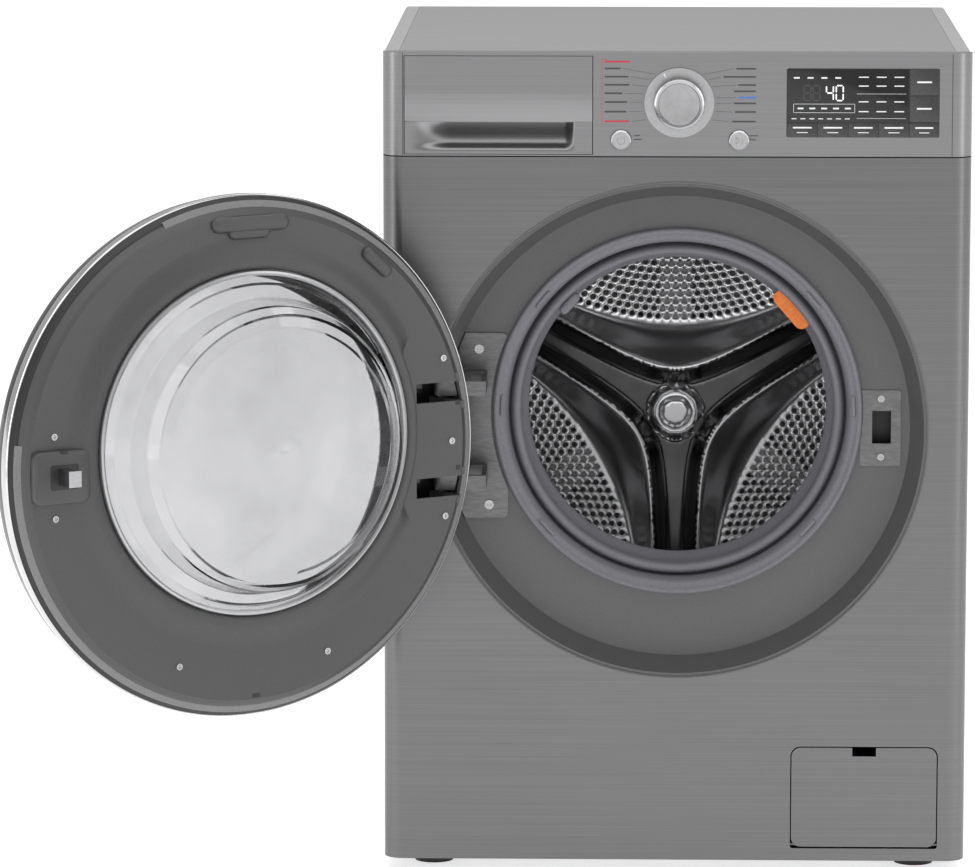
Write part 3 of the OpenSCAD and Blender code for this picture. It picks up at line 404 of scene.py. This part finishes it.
def perforated(outer, holes, hole_r, sides, spacing, lift):
    """A flat disc with real round holes: triangles between the outline, a grid and the hole rims."""
    points, edges, lifts = [Vector(p) for p in outer], [], [0.0] * len(outer)
    edges += [(i, (i + 1) % len(outer)) for i in range(len(outer))]
    for hx, hy in holes:
        first = len(points)
        for ring, raised in ((hole_r, lift), (hole_r * 1.45, 0.0)):
            for i in range(sides):
                a = TAU * i / sides
                points.append(Vector((hx + ring * math.cos(a), hy + ring * math.sin(a))))
                lifts.append(raised)
        edges += [(first + i, first + (i + 1) % sides) for i in range(sides)]
    cells = {}
    for hx, hy in holes:
        cells.setdefault((int(hx // 20), int(hy // 20)), []).append((hx, hy))

    def near(x, y, d):
        cx, cy = int(x // 20), int(y // 20)
        return any((x - hx) ** 2 + (y - hy) ** 2 < d * d for i in (-1, 0, 1) for j in (-1, 0, 1)
                   for hx, hy in cells.get((cx + i, cy + j), ()))

    xs, ys = [p[0] for p in outer], [p[1] for p in outer]
    inside = spacing * 0.45
    row, y = 0, min(ys) + inside
    while y < max(ys) - inside:
        x = min(xs) + inside + (row % 2) * spacing / 2
        while x < max(xs) - inside:
            if math.hypot(x, y) < max(xs) - inside and not near(x, y, hole_r * 1.45 + spacing * 0.35):
                points.append(Vector((x, y)))
                lifts.append(0.0)
            x += spacing
        y += spacing * 0.87
        row += 1
    got, _, tris, origin, _, _ = delaunay_2d_cdt(points, edges, [], 1, 0.0001)
    faces = []
    for t in tris:
        cx, cy = sum(got[i][0] for i in t) / 3, sum(got[i][1] for i in t) / 3
        if not near(cx, cy, hole_r * 0.9):
            faces.append(tuple(t))
    up = [lifts[o[0]] if o else 0.0 for o in origin]
    return [(p[0], p[1]) for p in got], faces, up


holes = []
for middle in (90, 210, 330):
    t = math.radians(middle)
    for row in range(13):
        for col in range(-22, 23):
            b = (col + 0.5 * (row % 2)) * 9.6
            a = panel_at(b) + 8 + row * 8.3
            if math.hypot(a, b) < 214 and a - ridge_at(b) > 16:
                holes.append((a * math.cos(t) - b * math.sin(t), a * math.sin(t) + b * math.cos(t)))
rim = [(237.6 * math.cos(TAU * i / 180), 237.6 * math.sin(TAU * i / 180)) for i in range(180)]
flat, faces, lifts = perforated(rim, holes, 3.0, 10, 4.6, 1.0)
verts = [in_drum(x, y, BACK_S - 1 - relief(x, y) - up) for (x, y), up in zip(flat, lifts)]
drum_back = build("drum_back", verts, faces, "drum_steel", "drum", ("drum",), sharp=80)
# the arm faces get the darker copy of the drum steel, a painted reflection of the dark drum walls on the arms
drum_back.data.materials.append(FINISH["arm_painted_shade_steel"])
for face in drum_back.data.polygons:
    x, y = (sum(flat[i][k] for i in face.vertices) / 3 for k in (0, 1))
    a, b = sector(x, y)
    if ridge_at(b) - a > 1.5 and math.hypot(x, y) > 30:
        face.material_index = 1

WALL_S0, WALL_S1, COLS, ROWS = 58.0, 411.0, 96, 23
around = TAU * DRUM_R
holes = [((i + 0.25 + 0.5 * (j % 2)) * around / COLS, WALL_S0 + (j + 0.5) * (WALL_S1 - WALL_S0) / ROWS)
         for i in range(COLS) for j in range(ROWS)]
verts, faces = [], []
for hx, hy in holes:
    w2, h2, first = around / COLS / 2, (WALL_S1 - WALL_S0) / ROWS / 2, len(verts)
    for k in range(8):
        a = TAU * k / 8
        square = max(abs(math.cos(a)), abs(math.sin(a)))
        for x, s, drop in ((hx + w2 * math.cos(a) / square, hy + h2 * math.sin(a) / square, 0),
                           (hx + 2.6 * math.cos(a), hy + 2.6 * math.sin(a), 0.5)):
            t = -x / DRUM_R + math.pi / 6
            verts.append(in_drum((DRUM_R + drop) * math.cos(t), (DRUM_R + drop) * math.sin(t), s))
    faces += [(first + 2 * k, first + 2 * ((k + 1) % 8), first + 2 * ((k + 1) % 8) + 1, first + 2 * k + 1)
              for k in range(8)]
build("drum_wall", verts, faces, "drum_steel", "drum", sharp=60)
for name, line in (("drum_front", [(168.6, 50), (167.4, 46.4), (169.4, 44.6), (173, 45), (178, 47.6),
        (230, 49.6),
                                   (238, 52.6), (240, 58.4)]),
                   ("drum_rear_edge", [(240, 410.6), (239.6, 414), (237.4, 415.4)])):
    verts, faces, n = [], [], 160
    for i in range(n):
        a = TAU * i / n
        verts += [in_drum(r * math.cos(a), r * math.sin(a), s) for r, s in line]
    for i in range(n):
        for k in range(len(line) - 1):
            j = (i + 1) % n
            faces.append((i * len(line) + k, i * len(line) + k + 1, j * len(line) + k + 1, j * len(line) + k))
    build(name, verts, faces, "drum_steel", "drum")

# ---------- suspension springs as coils between cabinet and tub ----------
for side in (-1, 1):
    verts, faces, turns, per, tube = [], [], 14, 22, 8
    total = turns * per
    for i in range(total + 1):
        a, z = TAU * i / per, 610 + 178 * i / total
        for k in range(tube):
            b = TAU * k / tube
            r = 11 + 1.6 * math.cos(b)
            verts.append((side * 235 + r * math.cos(a), 60 + r * math.sin(a), z + 1.6 * math.sin(b)))
    faces = [(i * tube + k, i * tube + (k + 1) % tube, (i + 1) * tube + (k + 1) % tube, (i + 1) * tube + k)
             for i in range(total) for k in range(tube)]
    coil = build(f"spring_{'left' if side < 0 else 'right'}", verts, faces, "bright_steel", None,
                 ("suspension_springs",))
    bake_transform(coil)

# ---------- drawer front with its scooped handle ----------
def scoop(x, z):
    """Depth of the finger scoop under the straight edge at z = 779.5."""
    side = min(smooth((x + 274) / 44), smooth((-104 - x) / 11))
    flat_foot = smooth((z - 750) / 8) * 0.35 + smooth((z - 752) / 26) * 0.65
    return 20.5 * side * flat_foot


X0, X1, Z0, Z1, EDGE_Z = -277.3, -86.3, 746.8, 846.4, 779.5
xs = [X0 + (X1 - X0) * i / 150 for i in range(151)]
below = [Z0 + (EDGE_Z - Z0) * i / 36 for i in range(37)]
rows_z = [(z, True) for z in below] + [(EDGE_Z, False), (EDGE_Z + 0.6, False), (810, False), (Z1, False)]
verts = [(x, -295 + (scoop(x, z) if deep else (0.4 if z == EDGE_Z else 0)), z) for z,
        deep in rows_z for x in xs]
n = len(xs)
faces = [(k * n + i, k * n + i + 1, (k + 1) * n + i + 1, (k + 1) * n + i) for k in range(len(rows_z) - 1)
         for i in range(n - 1)]
border = [i for i in range(n)] + [k * n + n - 1 for k in range(1, len(rows_z))]
border += [(len(rows_z) - 1) * n + i for i in range(n - 2, -1,
        -1)] + [k * n for k in range(len(rows_z) - 2, 0, -1)]
back = len(verts)
verts += [(verts[i][0], -272, verts[i][2]) for i in border]
faces += [(border[i], back + i, back + (i + 1) % len(border), border[(i + 1) % len(border)])
          for i in range(len(border))]
faces.append(tuple(back + i for i in range(len(border))))
build("drawer_face", verts, faces, "fascia_steel", "drawer", ("drawer_front",), sharp=40)

# ---------- control panel ----------
KNOB = (2, 799.6)
verts, faces = sweep([(0.01, -313.2), (6, -313.3), (20.6, -313.6), (21.4, -314.6), (23.4, -315),
        (25.2, -313.8), (26.1, -311),
              (26.2, -300), (25, -298), (0.01, -298)], KNOB, 240,
             shape=lambda r, y, a: (r - (0.35 if r > 25.9 and int(a / 3) % 2 else 0), y))
build("knob_body", verts, faces, "knob_chrome", "knob", ("program_knob",))
c, s = math.cos(math.radians(118)), math.sin(math.radians(118))
strokes("knob_tick", [(2 + 29 * c, 799.6 + 29 * s, 2 + 33.4 * c, 799.6 + 33.4 * s, 1.3)], -297.3, -297.75,
        "mark_white", "cabinet")
for x, name, body in ((-57, "power", "power_key"), (63, "start", "start_key")):
    verts, faces = sweep([(8.6, -297), (8.9, -297.7), (9.8, -297.9), (10.4, -297.3), (10.4, -296)],
            (x, 761), 90)
    build(f"{name}_rim", verts, faces, "chrome_trim", body)
arc = [(-57 + 4 * math.cos(math.radians(a)), 761 + 4 * math.sin(math.radians(a))) for a in range(125, 416,
        15)]
strokes("power_sign", [(*p, *q, 0.7) for p, q in zip(arc, arc[1:])] + [(-57, 761.5, -57, 766, 0.7)],
        -297.1, -297.5,
        "mark_grey", "power_key")
strokes("start_sign", [(60, 757.5, 60, 764.5, 0.7), (60, 764.5, 64, 761, 0.7), (64, 761, 60, 757.5, 0.7),
                       (66, 757.5, 66, 764.5, 0.8)], -297.1, -297.5, "mark_grey", "start_key")
dark, red, blue, thin = [], [], [], []
for k, (z, w) in enumerate(zip((841.1, 834.2, 825.9, 817.6, 809.0, 800.0, 790.2, 780.4),
                               (26, 16, 24, 25, 18, 23, 22, 25))):
    (red if k in (0, 7) else dark).append((-73.8, z, -73.8 + w, z, 1.7))
    if k:
        a = math.pi - (z - 799.6) / 40
        thin.append((-73.8 + w + 2.5, z, 2 + 38 * math.cos(a), 799.6 + 38 * math.sin(a), 0.35))
for k, (z, w) in enumerate(zip((834.2, 825.9, 817.6, 811.2, 804.9, 799.0, 790.2, 780.4),
                               (20, 33, 18, 22, 18, 22, 21, 24))):
    (blue if k == 4 else dark).append((79.7 - w, z, 79.7, z, 1.7))
    if k != 3:
        a = (z - 799.6) / 40
        thin.append((2 + 38 * math.cos(a), 799.6 + 38 * math.sin(a), 79.7 - w - 2.5, z, 0.35))
strokes("program_dashes", dark, FRONT, -295.2, "mark_dark", "cabinet")
strokes("program_dashes_red", red + [(-76.4, 777.5, -76.4, 843.5, 0.5), (-76.4, 843.5, -70, 843.5, 0.5)],
        -295,
        -295.2, "mark_red", "cabinet")
strokes("program_dash_blue", blue, FRONT, -295.2, "mark_blue", "cabinet")
strokes("program_leaders", thin, FRONT, -295.15, "mark_dark", "cabinet")
# dark strokes painted as the shade in the grooves between the fascia sheet and its end caps
strokes("fascia_groove_painted_shade", [(x, 745.2, x, 849.4, 0.8) for x in (-279.2, 279.2)], -295, -295.15,
        "mark_dark", "cabinet")
strokes("key_dashes", [(-44, 766, -38, 766, 1.1), (-44, 762, -36, 762, 1.1), (74, 766, 82, 766, 1.1),
                       (74, 762, 80, 762, 1.1)], -295, -295.2, "mark_dark", "cabinet")

# ---------- display ----------
pad("display_pane", 173.2, 807.15, 123.4, 54.2, 1.2, DISPLAY, PANE_FACE, 0.25, "display_glass", "cabinet")
for k, (z0, z1) in enumerate(((807.6, 834.3), (780.5, 806.9))):
    pad(f"side_key_{k}", 250.7, (z0 + z1) / 2, 29.4, z1 - z0, 1, DISPLAY, PANE_FACE, 0.25, "key_grey",
            "cabinet")
splits = (111.5, 142.5, 173.4, 204.4, 235.5, 265.8)
for k in range(5):
    pad(f"lower_key_{k}", (splits[k] + splits[k + 1]) / 2, 771.9, splits[k + 1] - splits[k] - 0.7, 14.2,
            0.8, DISPLAY,
        PANE_FACE, 0.25, "key_grey", "cabinet")
SEGMENTS = {"a": (0, 2, 1, 2), "b": (1, 1, 1, 2), "c": (1, 0, 1, 1), "d": (0, 0, 1, 0), "e": (0, 0, 0, 1),
            "f": (0, 1, 0, 2), "g": (0, 1, 1, 1)}


def digit(x, z, lit):
    """Seven-segment strokes for one figure, its lower left corner at (x, z)."""
    lines = []
    for key in lit:
        x0, z0, x1, z1 = SEGMENTS[key]
        p, q = Vector((x + 7 * x0, z + 7.6 * z0)), Vector((x + 7 * x1, z + 7.6 * z1))
        d = (q - p).normalized() * 0.9
        lines.append((*(p + d), *(q - d), 1.2))
    return lines


strokes("figures", digit(151.2, 802.2, "fgbc") + digit(161.2, 802.2, "abcdef"), SIGN_FOOT, -296.4,
        "mark_lit", "cabinet")
strokes("figures_dim", digit(128.4, 802.2, "abcdefg") + digit(137.6, 802.2, "abcdefg"), SIGN_FOOT,
        -296.35, "mark_dark",
        "cabinet")
signs = [(118 + 14 * i, 825.2, 124 + 14 * i, 825.2, 1.6) for i in range(4)]
signs += [(184 + 18 * i, z, 194 + 18 * i, z, 1.1) for i in range(3) for z in (826, 817, 801, 791)]
signs += [(122 + 12 * i, 794.1, 128 + 12 * i, 794.1, 1.6) for i in range(5)]
signs += [(118, 798.6, 180, 798.6, 0.35), (118, 789.8, 180, 789.8, 0.35), (118, 789.8, 118, 798.6, 0.35),
          (180, 789.8, 180, 798.6, 0.35), (182, 809, 232, 809, 0.3), (182, 784, 232, 784, 0.3)]
signs += [(116 + 9 * i, 783.6, 121 + 9 * i, 783.6, 0.9) for i in range(7)]
signs += [(243, z, 258, z, 1.7) for z in (821, 794)]
signs += [(splits[k] + 6, 774.5, splits[k + 1] - 6, 774.5, 1.6) for k in range(5)]
signs += [(splits[k] + 10, 769.5, splits[k + 1] - 10, 769.5, 0.8) for k in range(5)]
strokes("display_signs", signs, SIGN_FOOT, -296.4, "mark_white", "cabinet")

# ---------- surround highlights ----------
verts, faces = sweep([(254.9, -295), (254.9, -296), (256, -296.4), (257, -295.8), (257, -294.9)], PORT, 240)
build("surround_lip", verts, faces, "surround_plastic", "cabinet")

# ---------- studio ----------
def softbox(name, size, place, aim, power):
    data = bpy.data.lights.new(name, "AREA")
    data.shape = "RECTANGLE"
    data.size, data.size_y = size
    data.energy = power
    lamp = bpy.data.objects.new(name, data)
    scene.collection.objects.link(lamp)
    lamp.location = place
    lamp.rotation_mode = "QUATERNION"
    lamp.rotation_quaternion = (Vector(aim) - Vector(place)).to_track_quat("-Z", "Y")


softbox("top_box", (5, 4), (0, -1.2, 4.2), (0, 0, 0.4), 70)
softbox("left_strip", (0.7, 3), (-2.6, -1.6, 1.6), (0, -0.2, 0.5), 16)
softbox("right_strip", (0.7, 3), (2.6, -1.6, 1.6), (0, -0.2, 0.5), 16)
softbox("back_box", (3, 1.5), (0, 3, 4.4), (0, 0, 0.5), 20)
world = bpy.data.worlds.new("studio")
scene.world = world
world.use_nodes = True
world.node_tree.nodes["Background"].inputs["Color"].default_value = (0.55, 0.55, 0.555, 1)
bpy.ops.mesh.primitive_plane_add(size=400, location=(0, 0, 0))
floor = bpy.context.object
floor.name = "floor"
floor.data.materials.append(material("pale_floor", *grey(0.88, 0.9), (0.7, 0.8), 0, (3, 3, 3), 0.01, 0.0005,
                                     Emission_Color=(1, 1, 1, 1), Emission_Strength=0.62))
